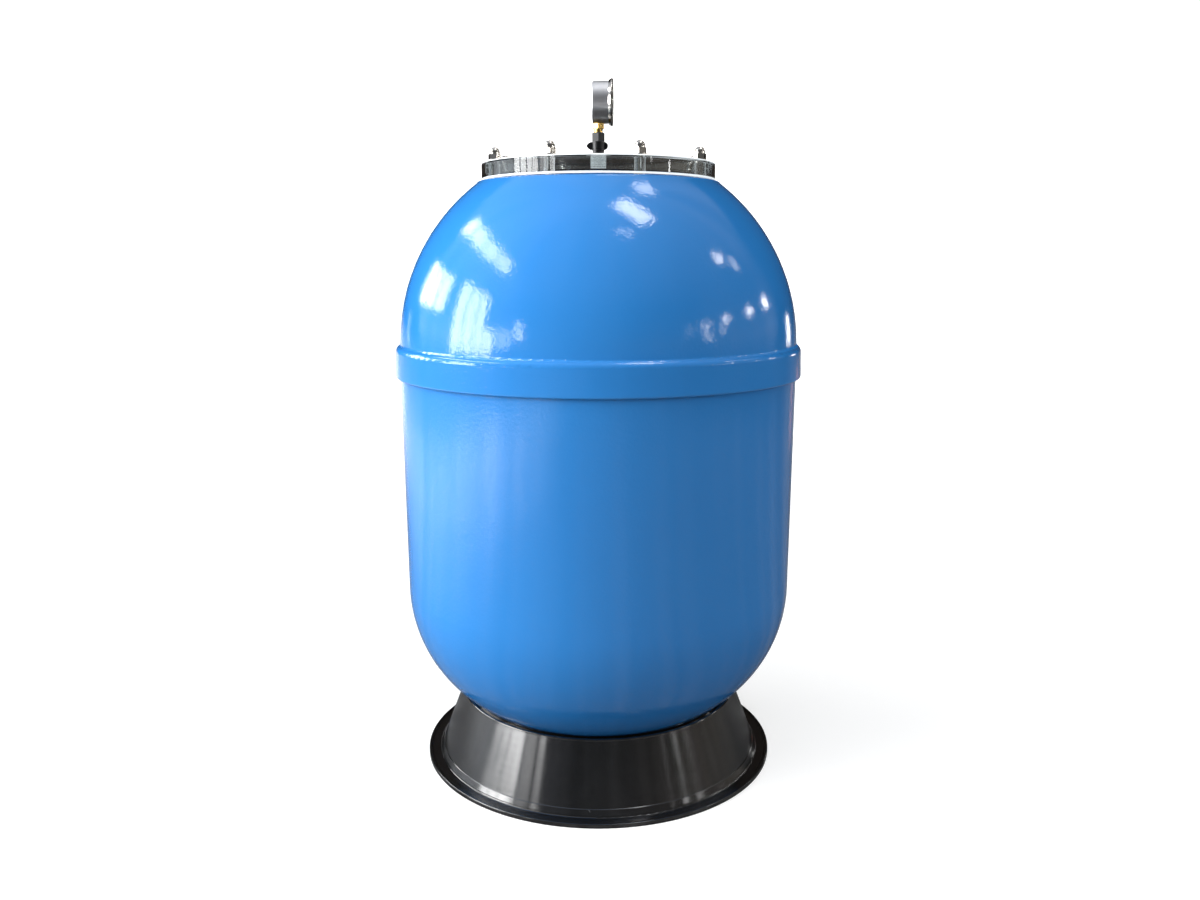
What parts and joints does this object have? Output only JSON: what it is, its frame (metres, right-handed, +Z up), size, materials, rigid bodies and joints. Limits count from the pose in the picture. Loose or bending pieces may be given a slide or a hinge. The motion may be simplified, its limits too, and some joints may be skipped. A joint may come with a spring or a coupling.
{
  "type": "pool sand filter",
  "caption": "Tall round laminated pool sand filter tank on a flared base skirt, with a clear bolted top lid, air purge, pressure gauge, rear side ports and a low drain.",
  "frame": {"origin": "on the tank's axis, at floor level under the base skirt", "axes": "+Z up along the tank's axis, +Y to the back, where the ports are, +X to the right seen from the front"},
  "size_m": [0.6309, 0.6609, 1.0665],
  "materials": {
    "blue_gelcoat": "gloss blue gelcoat over wound glass-fibre laminate",
    "black_plastic": "black moulded plastic, satin",
    "clear_plastic": "clear moulded plastic",
    "clear_window": "clear gauge window",
    "seal_rubber": "black rubber",
    "stainless_steel": "polished stainless steel",
    "satin_steel": "satin stainless steel",
    "brass": "machined brass",
    "white_pipe": "white rigid plastic pipe",
    "white_enamel": "white enamelled dial plate",
    "black_enamel": "black enamelled pointer"
  },
  "bodies": {
    "tank": {"base_skirt": "black_plastic", "lower_shell": "blue_gelcoat", "upper_shell": "blue_gelcoat", "stud_inserts": "brass", "lid_studs": "stainless_steel", "lid_gasket": "seal_rubber", "inlet_fitting": "black_plastic", "inlet_gasket": "seal_rubber", "inlet_nut": "black_plastic", "inlet_elbow": "white_pipe", "riser_pipe": "white_pipe", "diffuser": "black_plastic", "outlet_fitting": "black_plastic", "outlet_gasket": "seal_rubber", "outlet_nut": "black_plastic", "outlet_pipe": "white_pipe", "outlet_elbow": "white_pipe", "drop_pipe": "white_pipe", "collector_hub": "black_plastic", "lateral_1": "white_pipe", "lateral_2": "white_pipe", "lateral_3": "white_pipe", "lateral_4": "white_pipe", "lateral_5": "white_pipe", "lateral_6": "white_pipe", "lateral_7": "white_pipe", "lateral_8": "white_pipe", "drain_fitting": "black_plastic", "drain_gasket": "seal_rubber", "drain_nut": "black_plastic", "drain_strainer": "white_pipe"},
    "lid": {"lid": "clear_plastic", "lid_washers": "stainless_steel", "lid_nuts": "stainless_steel", "purge_gasket": "seal_rubber", "purge_stem": "black_plastic", "gauge_adapter": "black_plastic", "gauge_socket": "brass", "gauge_case": "satin_steel", "gauge_bezel": "stainless_steel", "gauge_window": "clear_window", "gauge_dial": "white_enamel", "bourdon_tube": "brass", "gauge_movement": "brass"},
    "purge_wing": {"purge_wing": "black_plastic"},
    "sector": {"gauge_sector": "brass"},
    "pointer": {"gauge_pointer": "black_enamel", "pointer_shaft": "brass"},
    "drain_cap": {"drain_cap": "black_plastic", "drain_seal": "seal_rubber"}
  },
  "joints": [
    {"name": "lid_lift", "type": "slide", "parent": "tank", "child": "lid", "axis": [0, 0, 1], "range_m": [0, 0.3]},
    {"name": "purge_turn", "type": "hinge", "parent": "lid", "child": "purge_wing", "pos_m": [0, 0, 0.9685], "axis": [0, 0, 1], "range_deg": [0, 180]},
    {"name": "sector_turn", "type": "hinge", "parent": "lid", "child": "sector", "pos_m": [0, 0, 1.023], "axis": [0.999, -0.0436, 0], "range_deg": [0, 45]},
    {"name": "pointer_swing", "type": "hinge", "parent": "lid", "child": "pointer", "pos_m": [0, 0, 1.032], "axis": [-0.999, 0.0436, 0], "range_deg": [0, 270]},
    {"name": "drain_cap_off", "type": "slide", "parent": "tank", "child": "drain_cap", "axis": [0, 1, 0], "range_m": [0, 0.06]}
  ],
  "couplings": [
    {"joint": "pointer_swing", "follows": "sector_turn", "ratio": 6}
  ]
}
